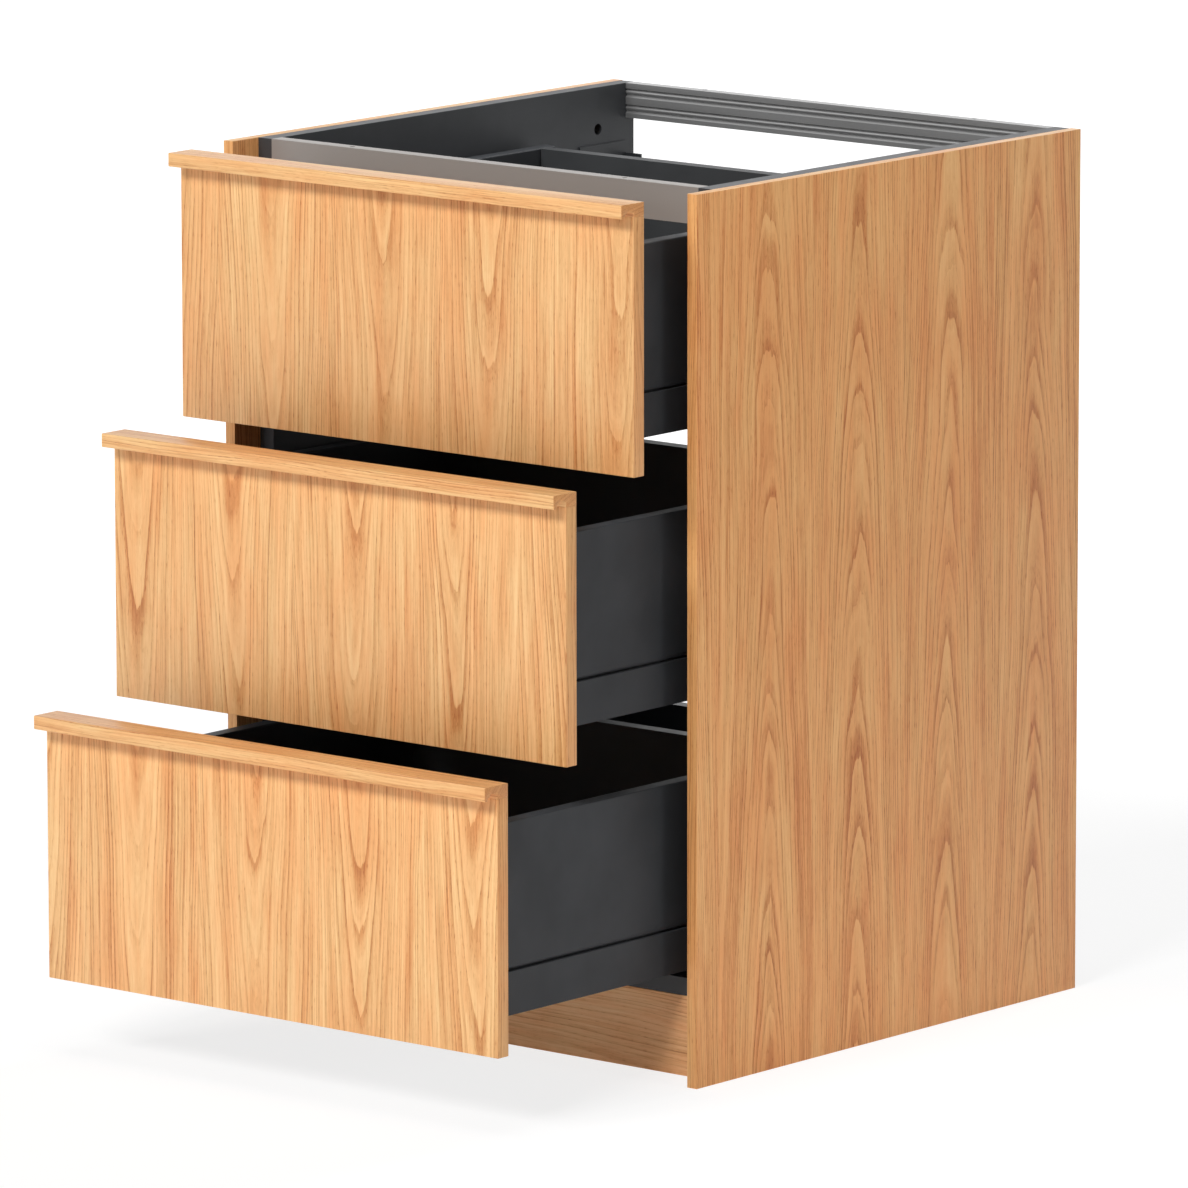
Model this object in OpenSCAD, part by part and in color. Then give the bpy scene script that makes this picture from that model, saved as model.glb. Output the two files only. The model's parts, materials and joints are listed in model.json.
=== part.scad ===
// Base cabinet with three full-extension drawers between two oak cover panels.
// Lengths are in millimetres. X runs across the fronts, +Y to the back and +Z up.
// The origin is on the floor, in the middle of the cabinet with its drawers as far out as they are set.

/* [Carcass] */
// Width of the carcass over its two sides
carcass_w = 600; // [450:1:900]
// Depth of the carcass from front edge to back edge
carcass_d = 580; // [560:1:640]
// Height of the carcass sides
carcass_h = 820; // [760:1:900]
// Thickness of the carcass boards
board_t = 18; // [16:0.5:22]
// Clear height under the carcass, which the legs make up
leg_h = 83; // [70:1:140]
// Gap between the carcass and the back of a closed drawer front
carcass_gap = 4.5; // [2:0.5:8]
// Thickness of the low back panel
back_panel_t = 16; // [12:0.5:18]
// Height of the low back panel above the bottom board
back_panel_h = 139; // [80:1:240]
// Bore in each carcass side for a fitting that hangs or joins cabinets
fitting_bore_d = 12; // [6:0.5:14]
// Distance of that bore from the carcass's back edge
fitting_bore_back = 59; // [40:1:90]
// Distance of that bore below the carcass's top edge
fitting_bore_down = 45; // [30:1:52]

/* [Cover panels and plinth] */
// Thickness of the cover panels
cover_t = 12.5; // [8:0.5:20]
// How far the cover panels reach past the carcass at the back
cover_back = 3.5; // [0:0.5:20]
// Thickness of the plinth board
plinth_t = 16; // [12:0.5:20]
// Gap between the plinth board and the carcass above it
plinth_gap = 0.5; // [0:0.5:4]

/* [Rails] */
// Height of the front and back rails
rail_h = 37; // [30:1:50]
// Depth of the front rail
front_rail_d = 16; // [12:0.5:30]
// Sheet thickness of the front rail
front_rail_t = 1.5; // [1:0.1:3]
// Depth of the back rail
back_rail_d = 13; // [11:0.5:30]
// Thickness of the back rail's grooved web
back_rail_web = 4; // [3.5:0.1:5]
// Width of each groove in the back rail
rail_groove_w = 9.5; // [6:0.1:11]
// Distance between the two grooves, centre to centre
rail_groove_pitch = 17; // [14:0.1:19]
// Radius of the round bead in each groove
rail_bead_r = 2.6; // [1.5:0.1:3]
// Diameter of the worktop screw holes in both rails
worktop_hole_d = 5.5; // [3:0.1:7]
// Distance between the two worktop screw holes of a rail
worktop_hole_span = 360; // [200:1:400]

/* [Drawer fronts] */
// Thickness of a front panel
front_t = 16; // [12:0.5:22]
// Gap between two fronts
front_gap = 2; // [1:0.5:5]
// Gap between a front and the cover panel beside it
front_side_gap = 1.5; // [1:0.5:5]
// How far the top front ends below the top of the carcass
front_top_gap = 1; // [0:0.5:6]
// How far the lowest front reaches below the carcass
front_drop = 4; // [0:0.5:12]
// How far the handle strip stands in front of the panel
strip_out = 19; // [16:0.5:30]
// Height of the handle strip
strip_h = 14; // [12:0.5:24]
// Thickness of the strip's lip at its lower edge
lip_t = 3.5; // [2:0.5:5]
// Radius of the finger groove behind the lip
groove_r = 10; // [8:0.5:12]
// Height of the finger groove above the lip's lower edge
groove_h = 6.7; // [5:0.1:8]
// Radius on the strip's front edges
strip_edge_r = 1.2; // [0.4:0.1:1.6]

/* [Drawer boxes] */
// Gap between a carcass side and the metal side of a drawer
box_gap = 13; // [11:0.5:16]
// Width of a metal drawer side
side_w = 17; // [13:0.5:20]
// Height of a metal drawer side above its slide
side_h = 150; // [60:1:170]
// Sheet thickness of a metal drawer side
side_t = 1.2; // [0.8:0.1:2]
// Radius on the top edges of a metal drawer side
side_edge_r = 1.5; // [1.3:0.1:3]
// Radius where a drawer side curves in above its slide
side_foot_r = 7; // [4:0.5:9]
// Length that a drawer side has beyond its slide's nominal length
side_over = 20; // [12:1:24]
// Distance from a side's rear end to the back board
back_inset = 10; // [5:1:20]
// Thickness of the back board of a drawer
box_back_t = 16; // [12:0.5:18]
// Thickness of the base board of a drawer
box_base_t = 16; // [12:0.5:18]
// Gap between a drawer side and the end of the back board
box_back_gap = 2; // [1:0.5:4]

/* [Slides] */
// Nominal length of the slides, which is also the drawers' travel
slide_l = 500; // [420:10:520]
// Height of a slide's lower edge above the front's lower edge
slide_z = 31; // [28:1:36]
// Height of a slide's outer cover
slide_h = 44; // [44:0.5:48]
// How far a slide's cover stands proud of the drawer side
slide_proud = 1.5; // [1:0.1:2.5]
// Sheet thickness of the slide cover and the cabinet rail
slide_t = 1.5; // [1.2:0.1:2]
// Sheet thickness of the middle member
middle_t = 1.3; // [1:0.1:1.6]
// Sideways clearance between the slide cover and the middle member
middle_play = 2.2; // [1.2:0.1:2.5]
// Sideways clearance between the middle member and the rail's head
head_play = 0.5; // [0.4:0.1:0.8]
// Running clearance of the guide blocks
guide_play = 0.3; // [0.3:0.1:0.6]
// Thickness of the guide blocks in the slide covers
guide_t = 7.2; // [5:0.1:8]
// Thickness of the guide blocks on the cabinet rails
rail_guide_t = 4.9; // [4:0.1:6]
// Length of every guide block
guide_l = 40; // [20:1:50]

/* [Drawers as they stand] */
// How far the upper drawer is open
upper_out = 100; // [0:1:400]
// How far the middle drawer is open
middle_out = 204; // [0:1:400]
// How far the lower drawer is open
lower_out = 309; // [0:1:400]

/* [Legs] */
// Distance of the legs from the carcass's outer faces
leg_in = 100; // [60:1:150]
// Distance of the front legs from the carcass's front edge
leg_front = 70; // [55:1:120]
// Distance of the rear legs from the carcass's back edge
leg_rear = 80; // [40:1:120]
// Diameter of the foot on the floor
foot_d = 48; // [40:1:60]
// Diameter of the leg's tube
leg_tube_d = 30; // [24:1:36]
// Diameter of the socket under the carcass
socket_d = 54; // [44:1:70]

/* [Wall brackets] */
// Length of a bracket's plate along the carcass side
bracket_l = 77; // [50:1:100]
// Height of a bracket's plate
bracket_h = 62; // [50:1:80]
// Sheet thickness of a bracket
bracket_t = 2; // [1.5:0.1:3]
// Distance of a bracket below the carcass's top edge
bracket_down = 61; // [58:1:90]
// Width of a bracket's flange
bracket_flange_w = 23; // [20:1:30]
// How much lower the flange is than the plate
bracket_step = 13; // [0:1:20]
// Diameter of the wall screw's hole in the flange
wall_hole_d = 8; // [5:0.5:9]

/* [Screws] */
// Shank diameter of the carcass screws
carcass_screw_d = 5; // [4:0.5:6]
// Length of a carcass screw
carcass_screw_l = 38; // [30:1:44]
// Head diameter of a carcass screw
carcass_screw_head = 10; // [8:0.5:11]
// Head height of a carcass screw
carcass_screw_head_h = 3; // [2:0.5:4]
// Shank diameter of the short screws for slides, rails, covers and brackets
short_screw_d = 4; // [3:0.5:4.5]
// Length of a short screw
short_screw_l = 13; // [10:0.5:14]
// Head diameter of a short screw
short_screw_head = 8; // [7:0.5:9]
// Head height of a short screw
short_screw_head_h = 1.6; // [1:0.1:2]
// Length of a cover panel's screw
cover_screw_l = 25; // [23:0.5:26]
// Head height of a cover panel's screw
cover_screw_head_h = 2; // [1:0.5:3]
// Radial clearance of every screw in its hole
screw_play = 0.1; // [0.1:0.05:0.3]

/* [Hidden] */
ROWS = ["lower", "middle", "upper"];
SIDES = ["left", "right"];
ROW_PARTS = ["front_panel", "handle_strip", "box_side_left", "box_side_right", "box_back",
             "box_base", "slide_cover_left", "slide_cover_right", "slide_guides", "box_screws",
             "slide_middle_left", "slide_middle_right", "slide_rail_left", "slide_rail_right"];
$fn = 48;
cut = 1;

OAK = [0.93, 0.75, 0.51];
OAK_SOLID = [0.92, 0.73, 0.49];
ANTHRACITE = [0.20, 0.21, 0.22];
BOX_METAL = [0.24, 0.25, 0.26];
ALUMINIUM = [0.72, 0.73, 0.74];
ZINC = [0.62, 0.64, 0.66];
BLACK = [0.09, 0.09, 0.10];
NYLON = [0.85, 0.85, 0.82];

// Planes of the carcass
outer_x = carcass_w / 2;
inner_x = outer_x - board_t;
top_z = leg_h + carcass_h;
floor_z = leg_h + board_t;
box_y = strip_out + front_t;
carcass_y = box_y + carcass_gap;
carcass_back = carcass_y + carcass_d;
cover_d = carcass_back + cover_back;
back_panel_y = carcass_back - back_panel_t;

// Where the drawers stand, and the place of the cover panels' front edges in this frame
outs = [lower_out, middle_out, upper_out];
reach = max(outs);
front_y = (reach - cover_d) / 2;

// Fronts
front_w = carcass_w - 2 * front_side_gap;
row_count = len(ROWS);
front_h = (carcass_h - front_top_gap + front_drop - (row_count - 1) * front_gap) / row_count;
panel_h = front_h - strip_h;
groove_z = groove_h - groove_r;
groove_y = lip_t + sqrt(groove_r * groove_r - groove_z * groove_z);
function row_z(row) = leg_h - front_drop + row * (front_h + front_gap);

// Slides, in the section across a drawer on its right side
box_x = inner_x - box_gap;
slide_x = box_x - side_w / 2;
slide_w = side_w + 2 * slide_proud;
side_z = slide_z + slide_h;
box_top = side_z + side_h;
middle_w = slide_w - 2 * slide_t - 2 * middle_play;
head_w = middle_w - 2 * middle_t - 2 * head_play;
middle_top = side_z - slide_t - guide_t - guide_play;
head_top = middle_top - middle_t - guide_play - rail_guide_t;
middle_h = 18;
middle_lip = 2;
slide_edge_r = 0.8;
rail_foot_gap = 5.5;
rail_foot_z = slide_z - rail_foot_gap - slide_t;
rail_plate_h = 40;
base_up = 16;
base_lip = 14;
base_play = 0.5;

// Slides, along the drawer
rail_inset = 14;
rail_y = carcass_y + rail_inset;
cover_short = 10;
cover_l = slide_l + cover_short;
middle_short = 20;
middle_l = slide_l - middle_short;
middle_inset = 3;
middle_y = rail_y + middle_inset;
side_l = slide_l + side_over;
guide_end = 15;
cover_guide_y = [middle_y + slide_l / 2 + guide_end, middle_y + middle_l - guide_end - guide_l];
rail_guide_y = [middle_y + guide_end, middle_y + middle_l - slide_l / 2 - guide_end - guide_l];
back_y = box_y + side_l - back_inset - box_back_t;
base_half = slide_x - slide_w / 2 - base_play;
base_z = slide_z + base_up;

// Screws as shank diameter, length under the head, head diameter and head height
CARCASS_SCREW = [carcass_screw_d, carcass_screw_l, carcass_screw_head, carcass_screw_head_h];
SHORT_SCREW = [short_screw_d, short_screw_l, short_screw_head, short_screw_head_h];
COVER_SCREW = [short_screw_d, cover_screw_l, short_screw_head, cover_screw_head_h];
recess_w = 0.9;
recess_depth = 1;

// Distances of the screws from the ends and edges of what they hold
slide_screw_in = 35;
slide_screw_up = 26;
bottom_screw_in = 60;
panel_screw_in = 35;
cover_screw_front = 90;
cover_screw_rear = 110;
cover_screw_in = 160;
side_screw_in = 30;
slide_screw_z = rail_foot_z + slide_screw_up;
slide_screw_y = [rail_y + slide_screw_in, rail_y + slide_l / 2, rail_y + slide_l - slide_screw_in];
bottom_screw_y = [carcass_y + bottom_screw_in, carcass_y + carcass_d / 2, carcass_back - bottom_screw_in];
panel_screw_z = [floor_z + panel_screw_in, floor_z + back_panel_h - panel_screw_in];
cover_screw_y = [carcass_y + cover_screw_front, carcass_back - cover_screw_rear];
cover_screw_z = [leg_h + cover_screw_in, top_z - cover_screw_in];
side_screw_z = [side_z + side_screw_in, box_top - side_screw_in];
back_screw_y = back_y + box_back_t / 2;

// Rails
front_rail_y = carcass_y + (front_rail_t + front_rail_d) / 2;
back_rail_y = carcass_back - back_rail_d;
back_rail_mid_y = back_rail_y + (back_rail_web + back_rail_d) / 2;
back_rail_t = 2;
rail_z = top_z - rail_h;
rail_mid_z = top_z - rail_h / 2;
rail_groove_deep = 2.4;
rail_groove_down = 0.5;
rail_groove_upper = 1;
rail_groove_lower = 2.5;
rail_bead_in = 0.2;
rail_bead_up = 0.6;

// Legs
foot_h = 6;
foot_cone = 6;
foot_edge = 2;
leg_end_gap = 1;
socket_h = 8;
socket_sleeve = 26;
sleeve_wall = 3;
spigot_d = 12;
spigot_h = 13;
leg_play = 0.3;
leg_x = outer_x - leg_in;
leg_front_y = carcass_y + leg_front;
leg_rear_y = carcass_back - leg_rear;
clip_t = 3;
clip_h = 14;
clip_w = 36;
clip_z = 20;

// Wall brackets
bracket_z = top_z - bracket_down - bracket_h;
bracket_inset = 14;
bracket_screw_in = 17;
bracket_back = carcass_back - bracket_inset;
bracket_y = bracket_back - bracket_l;
wall_hole_x = inner_x - bracket_flange_w / 2 - bracket_t / 2;
wall_hole_z = bracket_z + (bracket_h - bracket_step) / 2;
bracket_screw_y = [bracket_y + bracket_screw_in, bracket_y + bracket_l - bracket_screw_in];
bracket_screw_z = bracket_z + bracket_h / 2;

// Places its children, drawn from the cover panels' front edges, in the part's frame
module placed(out = 0, z = 0) translate([0, front_y - out, z]) children();

// Draws its children on the right, or mirrored on the left
module on_side(side) {
    if (side == "left") mirror([1, 0, 0]) children();
    else children();
}

module both_sides() {
    for (side = SIDES) on_side(side) children();
}

// Extrudes a section drawn as X and Z along Y from y
module along_y(y, length)
    translate([0, y + length, 0]) rotate([90, 0, 0]) linear_extrude(length) children();

// Extrudes a section drawn as Y and Z along X, centred on X
module along_x(length)
    translate([-length / 2, 0, 0]) rotate([90, 0, 90]) linear_extrude(length) children();

module board(x, y, z) translate([x[0], y[0], z[0]]) cube([x[1] - x[0], y[1] - y[0], z[1] - z[0]]);

// Rectangle with a radius on each corner: lower left, lower right, upper right, upper left
module rounded(w, h, r) {
    corners = [[0, 0], [w, 0], [w, h], [0, h]];
    inward = [[1, 1], [-1, 1], [-1, -1], [1, -1]];
    difference() {
        square([w, h]);
        for (i = [0 : 3]) if (r[i] > 0) translate(corners[i]) difference() {
            square(2 * r[i], center = true);
            translate(inward[i] * r[i]) circle(r[i]);
        }
    }
}

// A screw that points along +X, with its head's underside at the origin
module screw(kind) rotate([0, 90, 0]) difference() {
    union() {
        cylinder(d = kind[0], h = kind[1]);
        translate([0, 0, -kind[3]]) cylinder(d = kind[2], h = kind[3]);
    }
    for (turn = [0, 90]) rotate([0, 0, turn]) translate([-kind[2] / 4, -recess_w / 2, -kind[3] - cut])
        cube([kind[2] / 2, recess_w, recess_depth + cut]);
}

// The hole that a screw runs in, with room for its head where that is sunk
module screw_hole(kind, sunk = false) rotate([0, 90, 0]) {
    translate([0, 0, -cut]) cylinder(d = kind[0] + 2 * screw_play, h = kind[1] + 2 * cut);
    if (sunk) translate([0, 0, -kind[3] - cut]) cylinder(d = kind[2] + 2 * screw_play, h = kind[3] + cut);
}

// Screws that go in from the outer face of a carcass side
module at_carcass_screws() {
    inset = outer_x - CARCASS_SCREW[3];
    for (y = bottom_screw_y) translate([inset, y, leg_h + board_t / 2]) mirror([1, 0, 0]) children();
    for (z = panel_screw_z)
        translate([inset, back_panel_y + back_panel_t / 2, z]) mirror([1, 0, 0]) children();
}

// Screws that hold a cover panel from the inside
module at_cover_screws() {
    for (y = cover_screw_y, z = cover_screw_z) translate([inner_x + COVER_SCREW[3], y, z]) children();
}

// Short screws that go into a carcass side from the inside
module at_slide_screws() {
    for (row = [0 : row_count - 1], y = slide_screw_y)
        translate([inner_x - slide_t, y, row_z(row) + slide_screw_z]) children();
}

module at_rail_screws() {
    translate([inner_x - front_rail_t, front_rail_y, rail_mid_z]) children();
    translate([inner_x - back_rail_t, back_rail_mid_y, rail_mid_z]) children();
}

module at_bracket_screws() {
    for (y = bracket_screw_y) translate([inner_x - bracket_t, y, bracket_screw_z]) children();
}

// Screws of a drawer, from inside its metal side into the front and into the back board
module at_front_screws() {
    for (z = side_screw_z) translate([slide_x, box_y + side_t, z]) rotate([0, 0, -90]) children();
}

module at_back_screws() {
    for (z = side_screw_z)
        translate([box_x - side_w + side_t, back_screw_y, z]) mirror([1, 0, 0]) children();
}

module side_cover(side) color(OAK) placed() on_side(side) difference() {
    board([outer_x, outer_x + cover_t], [0, cover_d], [0, top_z]);
    at_cover_screws() screw_hole(COVER_SCREW);
}

module plinth_panel() color(OAK) placed()
    board([-outer_x, outer_x], [carcass_y, carcass_y + plinth_t], [0, leg_h - plinth_gap]);

module carcass_side(side) color(ANTHRACITE) placed() on_side(side) difference() {
    board([inner_x, outer_x], [carcass_y, carcass_back], [leg_h, top_z]);
    at_carcass_screws() screw_hole(CARCASS_SCREW, sunk = true);
    at_cover_screws() screw_hole(COVER_SCREW, sunk = true);
    at_slide_screws() screw_hole(SHORT_SCREW);
    at_rail_screws() screw_hole(SHORT_SCREW);
    at_bracket_screws() screw_hole(SHORT_SCREW);
    translate([inner_x - cut, carcass_back - fitting_bore_back, top_z - fitting_bore_down])
        rotate([0, 90, 0]) cylinder(d = fitting_bore_d, h = board_t + 2 * cut);
}

module carcass_bottom() color(ANTHRACITE) placed() difference() {
    board([-inner_x, inner_x], [carcass_y, carcass_back], [leg_h, floor_z]);
    both_sides() at_carcass_screws() screw_hole(CARCASS_SCREW);
    at_legs() translate([0, 0, leg_h - cut])
        cylinder(d = spigot_d + 2 * screw_play, h = spigot_h + cut + screw_play);
}

module back_panel() color(ANTHRACITE) placed() difference() {
    board([-inner_x, inner_x], [back_panel_y, carcass_back], [floor_z, floor_z + back_panel_h]);
    both_sides() at_carcass_screws() screw_hole(CARCASS_SCREW);
}

// Channel with two flanges and closed ends, drawn with its web at y and its open side at the back
module channel(y, depth, web, flange) {
    along_x(2 * inner_x) difference() {
        translate([y, rail_z]) square([depth, rail_h]);
        translate([y + web, rail_z + flange]) square([depth, rail_h - 2 * flange]);
    }
    both_sides() board([inner_x - flange, inner_x], [y, y + depth], [rail_z, top_z]);
}

module worktop_holes(y) {
    for (side = [-1, 1]) translate([side * worktop_hole_span / 2, y, top_z - rail_h / 4])
        cylinder(d = worktop_hole_d, h = rail_h);
}

module front_rail() color(ALUMINIUM) placed() difference() {
    channel(carcass_y, front_rail_d, front_rail_t, front_rail_t);
    both_sides() at_rail_screws() screw_hole(SHORT_SCREW);
    worktop_holes(front_rail_y);
}

// A groove in the back rail's web, with a round bead along it and a sloped lower wall
module rail_groove() {
    half = rail_groove_w / 2;
    difference() {
        polygon([[-cut, half], [0, half], [rail_groove_deep, half - rail_groove_upper],
                 [rail_groove_deep, -half + rail_groove_lower], [0, -half], [-cut, -half]]);
        translate([rail_bead_r + rail_bead_in, rail_bead_up]) circle(rail_bead_r);
    }
}

module back_rail() color(ALUMINIUM) placed() difference() {
    channel(back_rail_y, back_rail_d, back_rail_web, back_rail_t);
    for (side = [-1, 1]) along_x(2 * inner_x + cut)
        translate([back_rail_y, rail_mid_z + side * rail_groove_pitch / 2 - rail_groove_down])
            rail_groove();
    both_sides() at_rail_screws() screw_hole(SHORT_SCREW);
    worktop_holes(back_rail_mid_y);
}

module at_legs() {
    for (x = [-leg_x, leg_x], y = [leg_front_y, leg_rear_y]) translate([x, y, 0]) children();
}

// Round socket with a flange under the carcass, a spigot into it and a sleeve for the foot
module leg_sockets() color(BLACK) placed() at_legs() rotate_extrude() {
    bore = leg_tube_d / 2 + leg_play;
    sleeve_z = leg_h - socket_h - socket_sleeve;
    translate([0, leg_h - socket_h / 2]) square([socket_d / 2, socket_h / 2]);
    translate([0, leg_h]) square([spigot_d / 2, spigot_h]);
    translate([bore, sleeve_z]) square([sleeve_wall, socket_sleeve + socket_h]);
}

// Foot with a floor disc and a threaded tube that screws up into its socket
module leg_feet() color(BLACK) placed() at_legs() rotate_extrude() {
    tube_top = leg_h - socket_h / 2 - leg_end_gap;
    square([foot_d / 2, foot_h]);
    polygon([[0, foot_h], [foot_d / 2 - foot_edge, foot_h],
             [leg_tube_d / 2, foot_h + foot_cone], [0, foot_h + foot_cone]]);
    square([leg_tube_d / 2, tube_top]);
}

// Clip that holds the plinth board to a front leg
module plinth_clips() color(BLACK) placed() for (x = [-leg_x, leg_x]) {
    plate_y = carcass_y + plinth_t;
    ring_r = leg_tube_d / 2 + leg_play;
    translate([x, 0, clip_z]) difference() {
        union() {
            translate([-clip_w / 2, plate_y, 0]) cube([clip_w, clip_t, 2 * clip_h]);
            translate([-clip_t, plate_y, 0]) cube([2 * clip_t, leg_front_y - plate_y, clip_h]);
            translate([0, leg_front_y, 0]) cylinder(r = ring_r + clip_t, h = clip_h);
        }
        translate([0, leg_front_y, -cut]) cylinder(r = ring_r, h = clip_h + 2 * cut);
        translate([-ring_r / 2, leg_front_y, -cut]) cube([ring_r, 2 * ring_r, clip_h + 2 * cut]);
    }
}

// Angle that ties the carcass to the wall
module wall_brackets() color(ZINC) placed() both_sides() difference() {
    union() {
        board([inner_x - bracket_t, inner_x], [bracket_y, bracket_back],
              [bracket_z, bracket_z + bracket_h]);
        board([inner_x - bracket_flange_w, inner_x], [bracket_back - bracket_t, bracket_back],
              [bracket_z, bracket_z + bracket_h - bracket_step]);
    }
    at_bracket_screws() screw_hole(SHORT_SCREW);
    translate([wall_hole_x, bracket_back + cut, wall_hole_z]) rotate([90, 0, 0])
        cylinder(d = wall_hole_d, h = bracket_t + 2 * cut);
}

module carcass_screws() color(ZINC) placed() both_sides() at_carcass_screws() screw(CARCASS_SCREW);

module cover_screws() color(ZINC) placed() both_sides() at_cover_screws() screw(COVER_SCREW);

module short_screws() color(ZINC) placed() both_sides() {
    at_slide_screws() screw(SHORT_SCREW);
    at_rail_screws() screw(SHORT_SCREW);
    at_bracket_screws() screw(SHORT_SCREW);
}

module rail_guides() color(NYLON) for (row = [0 : row_count - 1]) placed(z = row_z(row)) both_sides()
    for (y = rail_guide_y)
        translate([slide_x - head_w / 2, y, head_top]) cube([head_w, guide_l, rail_guide_t]);

// Fixed rail of a slide: a plate on the carcass side, a foot under the drawer's slide cover,
// and an upright with a flat head inside it
module slide_rail(row, side) color(ZINC) placed(z = row_z(row)) on_side(side) difference() {
    along_y(rail_y, slide_l) {
        upright_x = slide_x - slide_t / 2;
        translate([inner_x - slide_t, rail_foot_z]) square([slide_t, rail_plate_h]);
        translate([upright_x, rail_foot_z]) square([inner_x - upright_x, slide_t]);
        translate([upright_x, rail_foot_z]) square([slide_t, head_top - rail_foot_z]);
        translate([slide_x - head_w / 2, head_top - slide_t]) square([head_w, slide_t]);
    }
    for (y = slide_screw_y) translate([inner_x - slide_t, y, slide_screw_z]) screw_hole(SHORT_SCREW);
}

// Middle member: a downward channel with lips under the rail's head
module slide_middle(row, side) color(ZINC) placed(outs[row] / 2, row_z(row)) on_side(side)
    along_y(middle_y, middle_l) difference() {
        translate([slide_x - middle_w / 2, middle_top - middle_h]) square([middle_w, middle_h]);
        translate([slide_x - middle_w / 2 + middle_t, middle_top - middle_h + middle_t])
            square([middle_w - 2 * middle_t, middle_h - 2 * middle_t]);
        translate([slide_x - middle_w / 2 + middle_t + middle_lip, middle_top - middle_h - cut])
            square([middle_w - 2 * middle_t - 2 * middle_lip, middle_t + 2 * cut]);
    }

// Outer member, which moves with the drawer: a hood over the slide, with a lip that carries the base
module slide_cover(row, side) color(BOX_METAL) placed(outs[row], row_z(row)) on_side(side)
    along_y(box_y, cover_l) {
        left_x = slide_x - slide_w / 2;
        difference() {
            translate([left_x, slide_z]) rounded(slide_w, slide_h, [0, 0, slide_edge_r, 0]);
            translate([left_x + slide_t, slide_z - cut])
                square([slide_w - 2 * slide_t, slide_h - slide_t + cut]);
            translate([left_x - cut, slide_z - cut]) square([slide_t + 2 * cut, base_up - slide_t + cut]);
        }
        translate([left_x - base_lip, base_z - slide_t]) square([base_lip + slide_t, slide_t]);
    }

module slide_guides(row) color(NYLON) placed(outs[row], row_z(row)) both_sides() for (y = cover_guide_y) {
    half = slide_w / 2 - slide_t;
    translate([slide_x - half, y, side_z - slide_t - guide_t]) cube([2 * half, guide_l, guide_t]);
}

module front_panel(row) color(OAK) placed(outs[row], row_z(row)) difference() {
    board([-front_w / 2, front_w / 2], [strip_out, box_y], [0, panel_h]);
    both_sides() at_front_screws() screw_hole(SHORT_SCREW);
}

// Strip across the top of a front, hollowed behind its lip as a finger groove
module handle_strip(row) color(OAK_SOLID) placed(outs[row], row_z(row) + panel_h)
    along_x(front_w) difference() {
        rounded(box_y, strip_h, [strip_edge_r, 0, 0, strip_edge_r]);
        intersection() {
            translate([groove_y, groove_z]) circle(groove_r, $fn = 96);
            translate([0, -cut]) square([strip_out, strip_h]);
        }
    }

// Outline of a metal drawer side, drawn from its lower inner corner, set in by a wall
module side_section(wall = 0) translate([wall, wall])
    rounded(side_w - 2 * wall, side_h - 2 * wall,
            [side_edge_r - wall, side_foot_r - wall, side_edge_r - wall, side_edge_r - wall]);

// Double-skinned drawer side, closed at the front by the plate that the front is screwed to
module box_side(row, side) color(BOX_METAL) placed(outs[row], row_z(row)) on_side(side) difference() {
    union() {
        along_y(box_y, side_l) translate([box_x - side_w, side_z]) difference() {
            side_section();
            side_section(side_t);
        }
        along_y(box_y, side_t) translate([box_x - side_w, side_z]) side_section(side_t / 2);
    }
    at_front_screws() screw_hole(SHORT_SCREW);
    at_back_screws() screw_hole(SHORT_SCREW);
}

module box_back(row) color(BOX_METAL) placed(outs[row], row_z(row)) difference() {
    half = box_x - side_w - box_back_gap;
    board([-half, half], [back_y, back_y + box_back_t], [base_z + box_base_t, box_top]);
    both_sides() at_back_screws() screw_hole(SHORT_SCREW);
}

module box_base(row) color(BOX_METAL) placed(outs[row], row_z(row))
    board([-base_half, base_half], [box_y, back_y + box_back_t], [base_z, base_z + box_base_t]);

module box_screws(row) color(ZINC) placed(outs[row], row_z(row)) both_sides() {
    at_front_screws() screw(SHORT_SCREW);
    at_back_screws() screw(SHORT_SCREW);
}

side_cover("left");  // side_cover_left
side_cover("right");  // side_cover_right
plinth_panel();
carcass_side("left");  // carcass_side_left
carcass_side("right");  // carcass_side_right
carcass_bottom();
back_panel();
front_rail();
back_rail();
leg_sockets();
leg_feet();
plinth_clips();
wall_brackets();
carcass_screws();
cover_screws();
short_screws();
rail_guides();
for (row = [0 : row_count - 1]) {
    name = str(ROWS[row], "_");
    front_panel(row);
    handle_strip(row);
    box_back(row);
    box_base(row);
    slide_guides(row);
    box_screws(row);
    for (side = SIDES) {
        box_side(row, side);
        slide_cover(row, side);
        slide_middle(row, side);
        slide_rail(row, side);
    }
}
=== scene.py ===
# %% [markdown]
# # A kitchen drawer cabinet in oak and dark grey
# This lesson dresses a finished CAD model. The cabinet's boards, rails, slides and screws are
# already there, at their real sizes in metres. Here they get wood, paint, metal and light.
# Some plain solids are also modelled again with the small shapes that a maker gives them:
# eased edges on the boards, a grooved handle strip, and legs with ribs and a thread.
#
# The first cell loads the model.

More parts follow.
